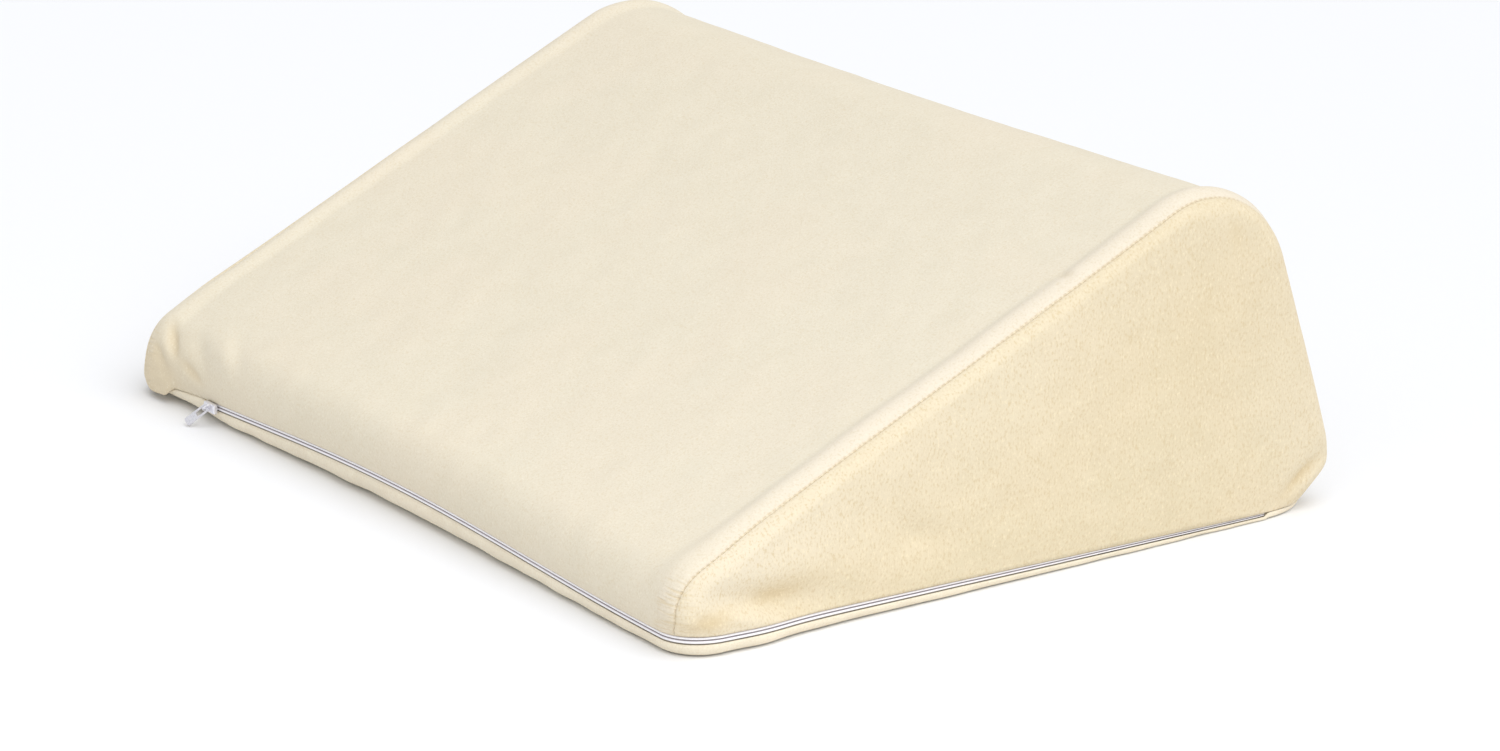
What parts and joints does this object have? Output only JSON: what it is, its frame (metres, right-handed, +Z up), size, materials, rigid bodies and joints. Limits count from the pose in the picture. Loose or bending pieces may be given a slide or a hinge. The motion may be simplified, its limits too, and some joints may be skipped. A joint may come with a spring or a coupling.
{
  "type": "positioning wedge pillow",
  "caption": "Filled wedge pillow in a zipped short-pile cover, low and rounded in front, with a straight slope up to a rounded ridge and a flat base.",
  "frame": {"origin": "under the middle of the pillow, on the surface that it lies on", "axes": "+X along the low front edge, +Y from the low front to the tall back, +Z up"},
  "size_m": [0.4346, 0.3416, 0.1461],
  "materials": {
    "wrap_pile": "short cream pile",
    "side_pile": "short cream pile, a little warmer",
    "base_pile": "short sand pile",
    "zip_tape": "white woven tape",
    "zip_metal": "bright plated"
  },
  "bodies": {
    "root": {"wedge_cushion": "wrap_pile", "side_panel_right": "side_pile", "side_panel_left": "side_pile", "base_panel": "base_pile", "zip_tape_upper": "zip_tape", "zip_tape_lower": "zip_tape", "zip_slider": "zip_metal", "zip_pull": "zip_metal"}
  },
  "joints": []
}
